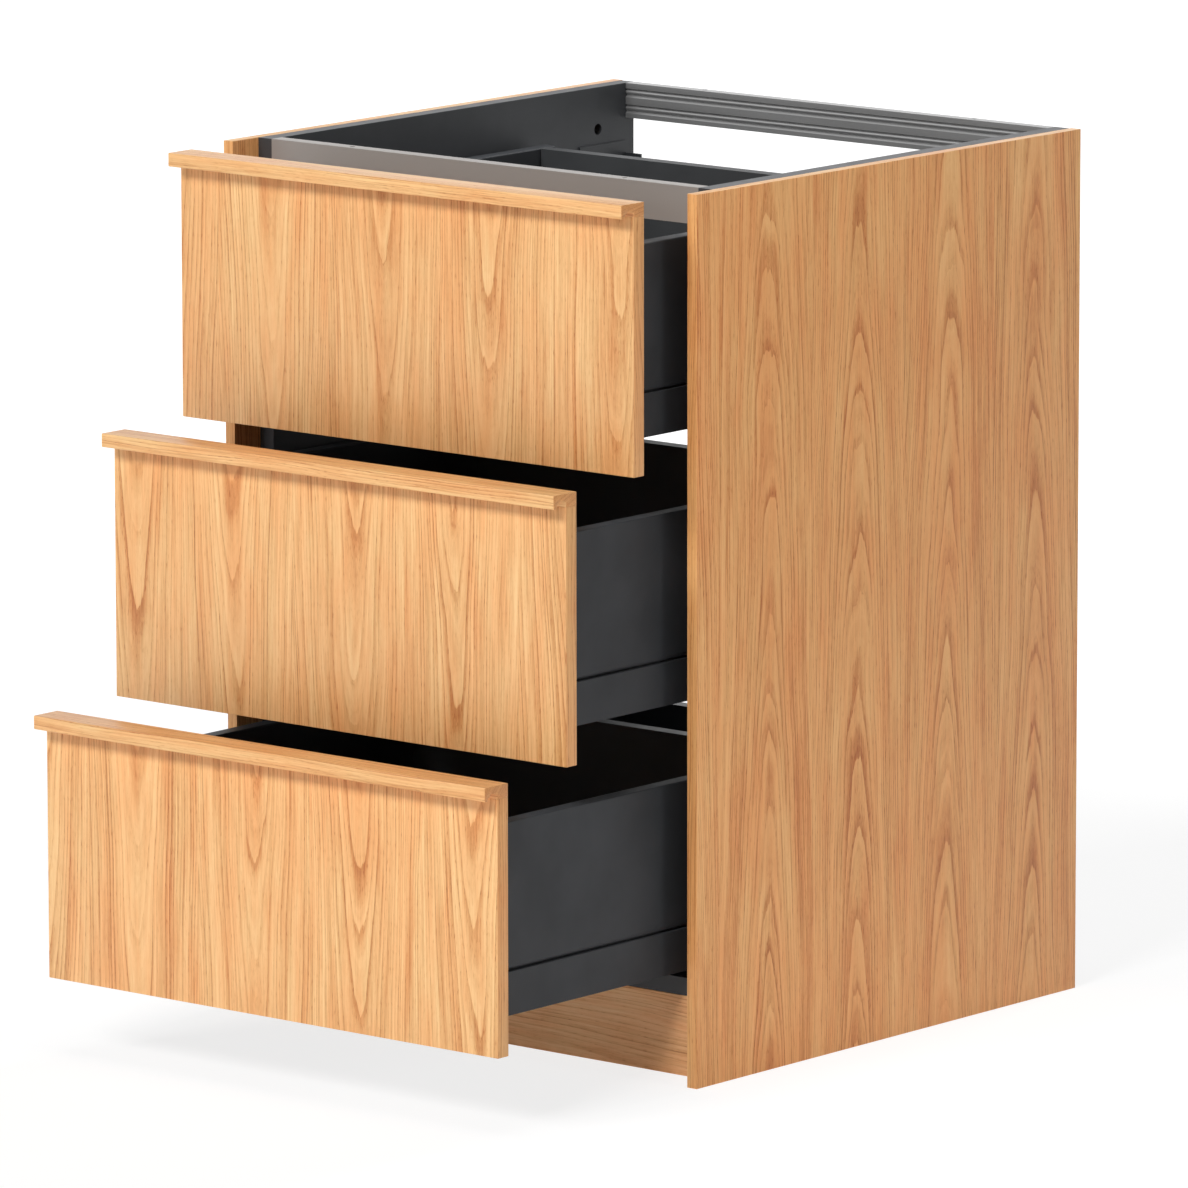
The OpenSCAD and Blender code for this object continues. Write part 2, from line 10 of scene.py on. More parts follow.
# %% Load the cabinet
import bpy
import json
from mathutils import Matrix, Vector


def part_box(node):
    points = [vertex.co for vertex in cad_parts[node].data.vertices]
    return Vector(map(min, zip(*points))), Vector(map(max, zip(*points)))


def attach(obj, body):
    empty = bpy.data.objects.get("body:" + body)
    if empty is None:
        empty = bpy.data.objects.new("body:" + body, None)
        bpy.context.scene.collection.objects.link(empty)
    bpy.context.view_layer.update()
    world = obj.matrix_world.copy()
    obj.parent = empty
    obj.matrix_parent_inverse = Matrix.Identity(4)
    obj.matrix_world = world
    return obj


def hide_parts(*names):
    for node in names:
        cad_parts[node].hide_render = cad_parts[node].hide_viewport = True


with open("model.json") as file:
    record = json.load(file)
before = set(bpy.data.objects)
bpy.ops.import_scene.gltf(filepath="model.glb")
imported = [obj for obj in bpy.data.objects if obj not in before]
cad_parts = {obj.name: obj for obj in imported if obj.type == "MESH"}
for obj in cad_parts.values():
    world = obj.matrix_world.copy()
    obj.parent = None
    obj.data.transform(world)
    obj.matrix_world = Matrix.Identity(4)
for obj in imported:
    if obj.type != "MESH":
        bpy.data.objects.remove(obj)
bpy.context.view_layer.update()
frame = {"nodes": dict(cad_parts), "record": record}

# %% Imports and the names that repeat
import json
import math
import bpy
from mathutils import Matrix, Quaternion, Vector

MM = 0.001
ROWS = ("lower", "middle", "upper")
SIDES = ("left", "right")

# %% [markdown]
# ## Camera
# The picture to match was taken from far away with a long lens, so parallel edges stay nearly
# parallel. A camera like that is described best by the point it aims at, its two angles and its
# distance. The focal length is given in pixels of the picture. Blender's sensor is 36 mm wide,
# so the lens is 36 mm times the focal length over the picture's width. A tiny roll completes it.

# %% Camera at the picture's angle
PICTURE_SIDE = 1188
FOCAL_PIXELS = 10995
SENSOR = 36
CLIP_END = 100
AIM = Vector((56.2, -9.2, 453.7)) * MM
DISTANCE = 11.189
AZIMUTH = math.radians(39.855)
ELEVATION = math.radians(10.150)
ROLL = math.radians(-0.074)

towards_camera = Vector((math.sin(AZIMUTH) * math.cos(ELEVATION),
                         -math.cos(AZIMUTH) * math.cos(ELEVATION),
                         math.sin(ELEVATION)))
camera_data = bpy.data.cameras.new("Camera")
camera_data.sensor_width = SENSOR
camera_data.lens = SENSOR * FOCAL_PIXELS / PICTURE_SIDE
camera_data.clip_end = CLIP_END
camera = bpy.data.objects.new("Camera", camera_data)
camera.location = AIM + towards_camera * DISTANCE
camera.rotation_mode = "QUATERNION"
camera.rotation_quaternion = (-towards_camera).to_track_quat("-Z", "Y") @ Quaternion((0, 0, 1), ROLL)
bpy.context.scene.collection.objects.link(camera)
bpy.context.scene.camera = camera
print("lens", round(camera_data.lens, 1), "mm")

# %% [markdown]
# ## Helpers for shader nodes
# A material is a tree of nodes. Typing `tree.nodes.new(...)` and a link for each of them hides
# the idea in the bookkeeping, so a few small helpers do it: `put` adds any node, `calc` adds a
# Math node and returns its output, `ramp` turns a number into a colour, `remap` moves a number
# from one range to another, and `clouds` is a noise.
#
# Colours are noted as a painter reads them from a picture, from 0 to 255. Blender computes with
# light, which is not the same scale, so `tone` converts them.

# %% Node helpers
def tone(red, green, blue):
    """A display colour from 0 to 255 as the linear colour that Blender computes with."""
    def linear(value):
        share = value / 255
        return share / 12.92 if share <= 0.04045 else ((share + 0.055) / 1.055) ** 2.4
    return (linear(red), linear(green), linear(blue), 1)


def put(tree, kind, inputs=None, **options):
    """Adds a node. An input is a plain value, or another node's output that is linked to it."""
    made = tree.nodes.new(kind)
    for name, value in options.items():
        setattr(made, name, value)
    for key, value in (inputs or {}).items():
        if isinstance(value, bpy.types.NodeSocket):
            tree.links.new(value, made.inputs[key])
        else:
            made.inputs[key].default_value = value
    return made


def calc(tree, operation, first, second=0.0, third=0.0):
    """Adds a Math node and returns its output."""
    made = put(tree, "ShaderNodeMath", {0: first, 1: second, 2: third}, operation=operation)
    return made.outputs[0]


def ramp(tree, factor, stops):
    """Adds a Color Ramp with the stops (place, colour) and returns its colour."""
    made = put(tree, "ShaderNodeValToRGB", {"Fac": factor})
    elements = made.color_ramp.elements
    elements[0].position, elements[0].color = stops[0]
    elements[1].position, elements[1].color = stops[-1]
    for place, colour in stops[1:-1]:
        elements.new(place).color = colour
    return made.outputs["Color"]


def grey(value):
    """A grey as a colour, for ramps that shape a number."""
    return (value, value, value, 1)


def remap(tree, value, low, high, new_low, new_high):
    """Adds a Map Range node, which takes low to new_low and high to new_high."""
    made = put(tree, "ShaderNodeMapRange", {"Value": value, 1: low, 2: high, 3: new_low, 4: new_high})
    return made.outputs[0]


def clouds(tree, place, scale, detail, roughness=0.5):
    """Adds a Noise Texture and returns its value, which is about 0.5 on average."""
    made = put(tree, "ShaderNodeTexNoise",
               {"Vector": place, "Scale": scale, "Detail": detail, "Roughness": roughness})
    return made.outputs["Fac"]


print("white is", [round(v, 3) for v in tone(255, 255, 255)])

# %% [markdown]
# ## How oak veneer is drawn
# Oak boards are cut along a trunk, and a trunk is a stack of cones: one for each year. A flat
# cut through such cones shows long arches in the middle and straight lines at both sides. The
# arches can be drawn by hand-placed curves, or by a stretched wave texture, but both look
# printed. It is simpler to compute the cut itself. Every point has a distance from the trunk's
# middle line, and the year it grew in is that distance divided by a ring's width.
#
# A sheet of veneer is made of leaves about 150 mm wide, cut one after the other from one log
# and laid side by side. So the pattern repeats from leaf to leaf, a little shifted each time.
# A white noise of the leaf's number gives the shifts. Odd factors such as 1.37 or 3.17 only keep
# the numbers drawn for one leaf or ring apart from those of the next. In a noise, the factor of a
# length is how often the noise changes in a metre: wood is long in the grain, so along it the
# factor is the smallest.

# %% Leaves and rings, shared by every oak surface
LEAF = 0.148
OAK_INPUTS = ("Across", "Depth", "Along", "Leaf", "Ring", "Pith", "Taper", "Seed")


def scaled(tree, value, factor, offset=0.0):
    return calc(tree, "MULTIPLY_ADD", value, factor, offset)


def add_scaled(tree, base, value, factor):
    return calc(tree, "MULTIPLY_ADD", value, factor, base)


def noise(tree, across, depth, along, detail=2.0, roughness=0.5):
    """A noise round 0, at a point whose three coordinates are already scaled."""
    point = put(tree, "ShaderNodeCombineXYZ", {0: across, 1: depth, 2: along}).outputs[0]
    return calc(tree, "SUBTRACT", clouds(tree, point, 1.0, detail, roughness), 0.5)


def chance(tree, number):
    """A number from 0 to 1 that jumps when the given number does."""
    return put(tree, "ShaderNodeTexWhiteNoise", {"W": number}, noise_dimensions="1D").outputs["Value"]


print("a leaf of veneer is", LEAF, "m wide")

# %% [markdown]
# Three slow noises keep the cut from looking drawn. `lean` lets the heart of a leaf wander to
# the sides, `swell` makes the arches come closer or further apart, and `flame` pulls the grain
# up and down in narrow stripes. The last one hardly shows on the straight lines, which run the
# same way, but it gives every arch the ragged tip that real oak has. How far each of them moves
# the cut is a length in metres, and the years themselves get a little uneven in width.

# %% The year in which each point grew
LEAF_SLIP = 0.16
HEART_SHIFT = 0.022
LEAN = 0.022
FLAME = 0.055
SWELL = 0.005
UNEVEN_YEARS = 1.5


def ring_field(tree, source):
    """The year at each point, counted from the heart, and a number that tells its leaf."""
    leaf = calc(tree, "ROUND", calc(tree, "DIVIDE", source["Across"], source["Leaf"]))
    local = calc(tree, "SUBTRACT", source["Across"], calc(tree, "MULTIPLY", leaf, source["Leaf"]))
    mark = calc(tree, "MULTIPLY_ADD", leaf, 1.37, source["Seed"])
    slip = calc(tree, "SUBTRACT", chance(tree, mark), 0.5)
    along = add_scaled(tree, source["Along"], slip, LEAF_SLIP)
    offset = calc(tree, "SUBTRACT", chance(tree, scaled(tree, mark, 2.3, 0.7)), 0.5)
    across = add_scaled(tree, local, offset, HEART_SHIFT)
    lean = noise(tree, scaled(tree, across, 12.0), mark, scaled(tree, along, 3.0), 1.0)
    side = add_scaled(tree, across, lean, LEAN)
    flame = noise(tree, scaled(tree, across, 75.0), mark, scaled(tree, along, 6.0), 3.0, 0.55)
    along = add_scaled(tree, along, flame, FLAME)
    swell = noise(tree, scaled(tree, across, 7.0), scaled(tree, mark, 1.0, 5.0),
                  scaled(tree, along, 6.0), 1.0)
    pith = calc(tree, "MULTIPLY_ADD", along, source["Taper"], source["Pith"])
    pith = calc(tree, "ADD", pith, source["Depth"])
    pith = add_scaled(tree, pith, swell, SWELL)
    squares = calc(tree, "MULTIPLY_ADD", pith, pith, calc(tree, "MULTIPLY", side, side))
    year = calc(tree, "DIVIDE", calc(tree, "SQRT", squares), source["Ring"])
    uneven = noise(tree, scaled(tree, year, 0.45), mark, 0.0, 1.0)
    return add_scaled(tree, year, uneven, UNEVEN_YEARS), mark


print("the oak group has the inputs", *OAK_INPUTS)

# %% [markdown]
# Within one year, oak first grows a porous band that looks dark, then dense pale wood, and the
# winter ends it sharply. A ramp over the fraction of the year draws that. Some years are clear
# and others faint, some bands narrow and others wide, so each ring gets two numbers of its own.
#
# What the eye reads as oak lies on top: fine lines that follow the rings, groups of years that
# are darker or paler together, straight fibres, the pores as short dark dashes that crowd in
# the porous band, broad clouds, and a faint blush here and there. Everything is stretched along
# the grain. `SHARES` says how much each of them but the blush adds to the darkness of the band.
# The group puts out how dark each point is, how rosy, and a height, so that the light can feel
# the pores too. The colours come later, because not every sheet of oak has the same ones.

# %% The oak group
BAND_SHARE = 0.56
PALEST = 0.24
ROSIEST = 0.58
SHARES = {"line": 0.95, "group": 0.80, "fibre": 0.80, "pore": 0.55, "cloud": 0.30}


def year_band(tree, year, mark):
    """How dark each point of a year is, from 0 to 1."""
    band = ramp(tree, calc(tree, "FRACT", year),
                [(0.0, grey(0.9)), (0.07, grey(1.0)), (0.22, grey(0.66)), (0.45, grey(0.36)),
                 (0.75, grey(0.12)), (0.97, grey(0.0)), (1.0, grey(0.9))])
    number = calc(tree, "MULTIPLY_ADD", calc(tree, "FLOOR", year), 3.17, mark)
    width = chance(tree, scaled(tree, number, 1.9, 0.3))
    band = calc(tree, "POWER", band, scaled(tree, width, 1.7, 0.6))
    return calc(tree, "MULTIPLY", band, scaled(tree, chance(tree, number), 0.75, 0.25))


def make_oak_group():
    """The node group that all oak shares."""
    tree = bpy.data.node_groups.new("Oak grain", "ShaderNodeTree")
    for name in OAK_INPUTS:
        tree.interface.new_socket(name=name, in_out="INPUT", socket_type="NodeSocketFloat")
    for name in ("Dark", "Rosy", "Height"):
        tree.interface.new_socket(name=name, in_out="OUTPUT", socket_type="NodeSocketFloat")
    source = put(tree, "NodeGroupInput").outputs
    across, depth, along = source["Across"], source["Depth"], source["Along"]
    year, mark = ring_field(tree, source)
    band = year_band(tree, year, mark)
    line = noise(tree, scaled(tree, year, 1.6), mark, scaled(tree, along, 9.0), 4.0, 0.65)
    group = noise(tree, scaled(tree, year, 0.42), mark, scaled(tree, along, 3.0), 2.0, 0.6)
    fibre = noise(tree, scaled(tree, across, 560.0), scaled(tree, depth, 560.0),
                  scaled(tree, along, 20.0), 3.0, 0.7)
    dash = noise(tree, scaled(tree, across, 1000.0), scaled(tree, depth, 1000.0),
                 scaled(tree, along, 110.0), 2.0)
    fleck = remap(tree, dash, 0.06, 0.20, 0.0, 1.0)
    pore = calc(tree, "MULTIPLY", fleck, scaled(tree, band, 0.8, 0.25))
    cloud = noise(tree, scaled(tree, across, 22.0), mark, scaled(tree, along, 3.0), 2.0)
    dark = scaled(tree, band, BAND_SHARE, PALEST)
    parts = {"line": line, "group": group, "fibre": fibre, "pore": pore, "cloud": cloud}
    for name, share in SHARES.items():
        dark = add_scaled(tree, dark, parts[name], share)
    blush = noise(tree, scaled(tree, across, 46.0), scaled(tree, mark, 1.0, 9.0),
                  scaled(tree, along, 6.0), 4.0, 0.6)
    rosy = remap(tree, blush, -0.14, 0.16, 0.0, ROSIEST)
    put(tree, "NodeGroupOutput", {"Dark": dark, "Rosy": rosy, "Height": scaled(tree, pore, -1.0, 1.0)})
    return tree


OAK_GROUP = make_oak_group()
print("oak group has", len(OAK_GROUP.nodes), "nodes")

# %% [markdown]
# ## Oak materials
# Each board has its own direction: upright grain on the fronts and the cover panels, lying
# grain on the plinth and the handle strips. `oak` reads the object's coordinates from the
# middle of the board, hands each axis to the group in its role, and finishes with a satin
# lacquer, which is a little duller over the pores. On the fronts the arches point down and on
# the covers they point up, which is only the sign of the taper.
#
# Each sheet has a palette of four colours, from the dense pale wood to the darkest pores. In
# real oak the dark parts aren't greyer than the pale ones but deeper in colour, so red drops
# least from one to the next. The covers' palette is deeper and redder than the fronts' as painted
# shade, since they face sideways. Their rings are narrower, as of a log that grew more slowly. The
# upright lippings' palette is darker and redder as painted shade too. Ends of the same wood look
# darker and redder, because their fibres point at the eye. The plinth's palette is paler as
# painted light in its shade, and the lower front is paler and the upper ones darker as painted
# light. `tinted` makes such a palette from another.
#
# `solid` is for narrow pieces of solid oak, cut from the side of the log: the heart lies aside
# of them in both directions, so every long face gets straight lines. It isn't made of leaves,
# and neither is the plinth, so for those the one leaf is wider than any board.

# %% One function makes every oak
LACQUER = 0.40
PORE_DULLING = 0.15
PORE_RELIEF = 0.06
PORE_DEPTH = 0.2 * MM
ONE_LEAF = 10.0
OAK_STOPS = (0.0, 0.32, 0.64, 1.0)
FRONT_OAK = (tone(251, 210, 151), tone(240, 191, 131), tone(218, 160, 100), tone(184, 114, 59))
# The covers' palette is deeper and redder than the fronts' as painted shade.
COVER_OAK_SHADED = (tone(249, 196, 130), tone(238, 178, 112), tone(214, 145, 80), tone(182, 103, 41))
ROSY_OAK = tone(253, 218, 196)


def tinted(palette, red, green, blue):
    """The palette with each channel multiplied by its share."""
    return tuple((c[0] * red, c[1] * green, c[2] * blue, 1) for c in palette)


STRIP_OAK = tinted(FRONT_OAK, 0.97, 0.98, 0.97)
# Painted shade: the upright lippings are darker and redder than the fronts' broad faces.
EDGE_OAK_SHADED = tinted(FRONT_OAK, 0.94, 0.83, 0.71)
# Painted light: the plinth's palette is paler, most in blue, for the deep shade under the drawers.
PLINTH_OAK_PAINTED_LIGHT = tinted(FRONT_OAK, 1.03, 1.0, 1.08)
END_OAK = tinted(FRONT_OAK, 0.85, 0.69, 0.51)


def shader_of(name):
    """A new material with its tree and its Principled shader."""
    made = bpy.data.materials.new(name)
    made.use_nodes = True
    return made, made.node_tree, made.node_tree.nodes["Principled BSDF"]


def centre_of(node):
    low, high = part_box(node)
    return (low + high) / 2


def oak(name, roles, centre, seed, palette, leaf=LEAF, ring=0.0030, pith=0.052, taper=0.030, aside=0.0):
    """Oak whose grain runs as roles says: the axes across, into and along the wood, such as XYZ.
    Ring is a year's width, pith how deep the heart lies under the middle of the board, taper how
    much that changes over a metre of its length, and aside how far it lies to the side."""
    made, tree, shader = shader_of(name)
    place = put(tree, "ShaderNodeTexCoord").outputs["Object"]
    place = put(tree, "ShaderNodeMapping", {"Vector": place, "Location": -Vector(centre)}).outputs[0]
    axes = put(tree, "ShaderNodeSeparateXYZ", {0: place}).outputs
    across = calc(tree, "ADD", axes[roles[0]], aside)
    grain = put(tree, "ShaderNodeGroup",
                {"Across": across, "Depth": axes[roles[1]], "Along": axes[roles[2]], "Leaf": leaf,
                 "Ring": ring, "Pith": pith, "Taper": taper, "Seed": seed}, node_tree=OAK_GROUP)
    height = grain.outputs["Height"]
    bump = put(tree, "ShaderNodeBump",
               {"Height": height, "Strength": PORE_RELIEF, "Distance": PORE_DEPTH})
    colour = ramp(tree, grain.outputs["Dark"], list(zip(OAK_STOPS, palette)))
    warmed = put(tree, "ShaderNodeMix", {0: grain.outputs["Rosy"], 6: colour, 7: ROSY_OAK},
                 data_type="RGBA", blend_type="MULTIPLY").outputs[2]
    tree.links.new(warmed, shader.inputs["Base Color"])
    tree.links.new(bump.outputs["Normal"], shader.inputs["Normal"])
    tree.links.new(scaled(tree, height, -PORE_DULLING, LACQUER + PORE_DULLING), shader.inputs["Roughness"])
    return made


def solid(name, roles, centre, seed, palette, ring=0.0026):
    """Straight-grained solid oak."""
    return oak(name, roles, centre, seed, palette, leaf=ONE_LEAF, ring=ring, pith=0.045, taper=0.006,
               aside=0.055)


FRONT_SEED = {"lower": 3.0, "middle": 7.0, "upper": 12.0}
FRONT_ASIDE = {"lower": 0.020, "middle": -0.015, "upper": 0.026}
# Painted light: the lower front's palette is paler and the upper ones darker, as the light falls.
FRONT_PAINTED_LIGHT = {"lower": 1.02, "middle": 0.985, "upper": 0.965}
front_oak = {row: oak(f"Oak front {row}", "XYZ", centre_of(f"{row}_front_panel"), FRONT_SEED[row],
                      tinted(FRONT_OAK, *[FRONT_PAINTED_LIGHT[row]] * 3), taper=-0.030,
                      aside=FRONT_ASIDE[row]) for row in ROWS}
cover_oak = {side: oak(f"Oak cover {side}", "YXZ", centre_of(f"side_cover_{side}"), 21.0, COVER_OAK_SHADED,
                       ring=0.0023, aside=0.055) for side in SIDES}
plinth_oak = oak("Oak plinth", "ZYX", centre_of("plinth_panel"), 31.0, PLINTH_OAK_PAINTED_LIGHT, leaf=ONE_LEAF,
                 ring=0.0034, pith=0.060, taper=0.020, aside=0.050)
strip_oak = {row: solid(f"Oak strip {row}", "ZYX", centre_of(f"{row}_handle_strip"), FRONT_SEED[row],
                        STRIP_OAK) for row in ROWS}
strip_end = solid("Oak strip end", "ZYX", (0, 0, 0), 41.0, END_OAK, ring=0.0009)
upright_lipping = solid("Oak lipping upright", "XYZ", (0, 0, 0), 51.0, EDGE_OAK_SHADED)
lying_lipping = {"X": solid("Oak lipping along X", "YZX", (0, 0, 0), 52.0, FRONT_OAK),
                 "Y": solid("Oak lipping along Y", "XZY", (0, 0, 0), 53.0, FRONT_OAK)}
print("oak materials", len(bpy.data.materials))

# %% [markdown]
# ## Board, paint, metal and plastic
# The carcass is chipboard with a dark melamine skin. Melamine is pressed against a plate with
# a fine leather-like relief, so its shine breaks up into small spots: a noise in the bump does
# that. The drawers' metal sides are powder coated, which has a finer, pebbled relief. Its gloss
# is low: the studio is white all round, and a dark surface that mirrors it would look pale.
#
# Anodised aluminium and zinc plate are metals: their colour is the colour of their reflection,
# and fine lines or blotches in the roughness keep it from looking like a mirror.

# %% A function for each family of finishes
COAT_DEPTH = 0.2 * MM
METAL_DEPTH = 0.1 * MM
PLAIN = (1, 1, 1)
ROLLED = (0.04, 1, 1)


def shaded(colour, share):
    """The colour made darker or paler."""
    return tuple(v * share for v in colour[:3]) + (1,)


def relief(tree, shader, scale, strength, distance, stretch=PLAIN):
    """A bump from noise, in object space. Stretch makes lines of it."""
    place = put(tree, "ShaderNodeTexCoord").outputs["Object"]
    turned = put(tree, "ShaderNodeMapping", {"Vector": place, "Scale": stretch}).outputs[0]
    field = clouds(tree, turned, scale, 2.0)
    bump = put(tree, "ShaderNodeBump", {"Height": field, "Strength": strength, "Distance": distance})
    tree.links.new(bump.outputs["Normal"], shader.inputs["Normal"])
    return turned


def vary(tree, shader, place, scale, socket, low, high):
    """Lets a value of the shader wander between low and high with a broad noise."""
    field = clouds(tree, place, scale, 3.0)
    tree.links.new(remap(tree, field, 0.3, 0.7, low, high), shader.inputs[socket])


def coated(name, colour, roughness, grain, strength, gloss=0.5):
    """A coated or moulded surface: melamine, powder coat or plastic. Gloss is how much it mirrors."""
    made, tree, shader = shader_of(name)
    place = relief(tree, shader, grain, strength, COAT_DEPTH)
    cloud = clouds(tree, place, 14.0, 4.0)
    shades = [(0.35, shaded(colour, 0.90)), (0.65, shaded(colour, 1.10))]
    tree.links.new(ramp(tree, cloud, shades), shader.inputs["Base Color"])
    vary(tree, shader, place, 40.0, "Roughness", roughness - 0.04, roughness + 0.04)
    shader.inputs["Specular IOR Level"].default_value = gloss
    return made


def metal(name, colour, roughness, lines, grain=900.0, strength=0.08, share=1.0):
    """A metal. Lines is the stretch of its fine relief, which shows how it was rolled or drawn.
    Share is how much of it is bare: a matt clear coat hides some of the mirror."""
    made, tree, shader = shader_of(name)
    place = relief(tree, shader, grain, strength, METAL_DEPTH, lines)
    cloud = clouds(tree, place, 20.0, 3.0)
    shades = [(0.3, shaded(colour, 0.92)), (0.7, colour)]
    tree.links.new(ramp(tree, cloud, shades), shader.inputs["Base Color"])
    vary(tree, shader, place, 60.0, "Roughness", roughness - 0.05, roughness + 0.05)
    shader.inputs["Metallic"].default_value = share
    return made


carcass_board = coated("Carcass melamine", tone(54, 56, 59), 0.50, 1300.0, 0.20)
drawer_board = coated("Drawer melamine", tone(56, 58, 60), 0.50, 1300.0, 0.20)
drawer_metal = coated("Drawer powder coat", tone(64, 66, 69), 0.48, 2600.0, 0.12, gloss=0.15)
black_plastic = coated("Black moulded plastic", tone(30, 30, 32), 0.42, 1800.0, 0.15)
dark_steel = coated("Black passivated steel", tone(47, 49, 52), 0.40, 1500.0, 0.08)
front_rail_metal = metal("Matt aluminium", tone(160, 155, 151), 0.48, ROLLED, share=0.3)
back_rail_metal = metal("Satin aluminium", tone(160, 160, 160), 0.38, ROLLED, share=0.6)
zinc = metal("Zinc plate", tone(186, 190, 196), 0.32, PLAIN, 300.0, 0.10)
screw_zinc = metal("Bright zinc", tone(200, 202, 205), 0.25, PLAIN, 600.0, 0.06)
nylon = coated("Natural nylon", tone(226, 225, 216), 0.38, 900.0, 0.10)
print("finishes", len(bpy.data.materials))

# %% [markdown]
# ## Dress the CAD nodes
# A CAD node that already has the right shape only needs its material. The record names a
# finish slot for every node, so one table from slot to material dresses them. Two nodes look
# different from the others of their slot, and a second table names those.

# %% Materials by slot
FINISH = {
    "oak_panel": cover_oak["left"],
    "oak_solid": strip_oak["lower"],
    "carcass_board": carcass_board,
    "drawer_board": drawer_board,
    "drawer_metal": drawer_metal,
    "rail_aluminium": back_rail_metal,
    "black_plastic": black_plastic,
    "slide_steel": zinc,
    "screw_steel": screw_zinc,
    "guide_plastic": nylon,
}
SPECIAL = {"front_rail": front_rail_metal, "wall_brackets": dark_steel}
for entry in frame["record"]["subparts"]:
    node = frame["nodes"][entry["node"]]
    node.data.materials.clear()
    node.data.materials.append(SPECIAL.get(entry["node"], FINISH[entry["material_slot"]]))

# %% [markdown]
# ## Helpers for modelling
# The boards are modelled as by hand: add a cube, give it the board's size, ease its edges.
# An operator works on everything that is selected, and the CAD nodes are selected after
# loading, so `only` first leaves one object selected. `choose` selects faces or edges in code,
# by a test on each of them, as a click would on screen.

# %% Modelling helpers
def only(piece):
    """Leaves one object selected and active."""
    bpy.ops.object.select_all(action="DESELECT")
    if piece is not None:
        piece.select_set(True)
        bpy.context.view_layer.objects.active = piece


def start_cube(name, low, high):
    """A cube primitive at the size and place of the box from low to high."""
    only(None)
    bpy.ops.mesh.primitive_cube_add(size=1, location=(low + high) / 2, scale=high - low)
    made = bpy.context.object
    made.name = made.data.name = name
    bpy.ops.object.transform_apply(location=True, rotation=True, scale=True)
    return made


def choose(piece, kind, test):
    """Enters edit mode with the faces or edges selected that pass the test."""
    mode = (False, True, False) if kind == "edges" else (False, False, True)
    bpy.context.tool_settings.mesh_select_mode = mode
    for group in (piece.data.vertices, piece.data.edges, piece.data.polygons):
        group.foreach_set("select", [False] * len(group))
    for item in (piece.data.edges if kind == "edges" else piece.data.polygons):
        item.select = bool(test(item))
    bpy.ops.object.mode_set(mode="EDIT")


def leave_edit():
    bpy.ops.object.mode_set(mode="OBJECT")


def ease_all(piece, width):
    """Rounds every edge of a box."""
    only(piece)
    choose(piece, "edges", lambda edge: True)
    bpy.ops.mesh.bevel(offset=width, offset_type="WIDTH", segments=3, affect="EDGES")
    leave_edit()


def smooth(piece, angle=35):
    only(piece)
    bpy.ops.object.shade_smooth_by_angle(angle=math.radians(angle))


def finish_piece(piece, body, slot, *nodes):
    """The piece rides on its body and stands for CAD nodes, which it hides. Slot is not used."""
    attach(piece, body)
    if nodes:
        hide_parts(*nodes)
    return piece


print("helpers ready")

# %% [markdown]
# ## Boards with lipped edges
# A veneered board is a core with a sheet of oak on each broad face and a strip of solid oak,
# the lipping, glued on each narrow side. Its edges are eased with one pass of sandpaper, about
# half a millimetre. Modelling that tiny round matters: it catches a thin line of light.
#
# The board is a cube with a bevel. Its faces are then sorted by their normals: the broad ones
# keep the veneer, the narrow ones take a lipping whose grain runs along the strip. A face
# counts as facing an axis when its normal has more than `FACING` of it.

# %% A veneered board
EASE = 0.6 * MM
FACING = 0.7


def board(node, name, veneer, broad_axis):
    """A board in place of a CAD node. Its narrow sides get lipping that runs along them."""
    low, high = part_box(node)
    made = start_cube(name, low, high)
    ease_all(made, EASE)
    long_axis = "X" if broad_axis == 1 else "Y"
    for finish in (veneer, upright_lipping, lying_lipping[long_axis]):
        made.data.materials.append(finish)
    for face in made.data.polygons:
        normal = [abs(v) for v in face.normal]
        if normal[broad_axis] > FACING:
            face.material_index = 0
        else:
            face.material_index = 2 if normal[2] > FACING else 1
    smooth(made)
    size = (high - low) / MM
    print(name, "x".join(f"{v:.1f}" for v in size), "mm")
    return made


for side in SIDES:
    panel = board(f"side_cover_{side}", f"cover_panel_{side}", cover_oak[side], 0)
    finish_piece(panel, "cabinet", "oak_panel", f"side_cover_{side}")
plinth = board("plinth_panel", "plinth_board", plinth_oak, 1)
finish_piece(plinth, "cabinet", "oak_panel", "plinth_panel")
for row in ROWS:
    front = board(f"{row}_front_panel", f"{row}_front_board", front_oak[row], 1)
    finish_piece(front, f"{row}_drawer", "oak_panel", f"{row}_front_panel")

# %% [markdown]
# ## The handle strip
# The strip is one length of solid oak along the top of each front. Behind its lip a round
# groove takes the fingertips. A router cuts such a groove with a round bit, and that is the
# easiest way here too: a cylinder is the bit, a flat cut across it stops at the panel's face,
# and a Boolean modifier takes it out of the strip. The two long front edges are rounded first,
# by hand, and what stays sharp after the cut is eased with a Bevel modifier.

# %% Handle strips
LIP = 3.5 * MM
GROOVE_RADIUS = 10 * MM
GROOVE_HEIGHT = 6.7 * MM
STRIP_ROUND = 1.2 * MM
STRIP_EASE = 0.35 * MM
BIT_SIDES = 96
BIT_OVERRUN = 10 * MM
SAME_PLACE = 0.01 * MM
LONG_EDGE = 100 * MM


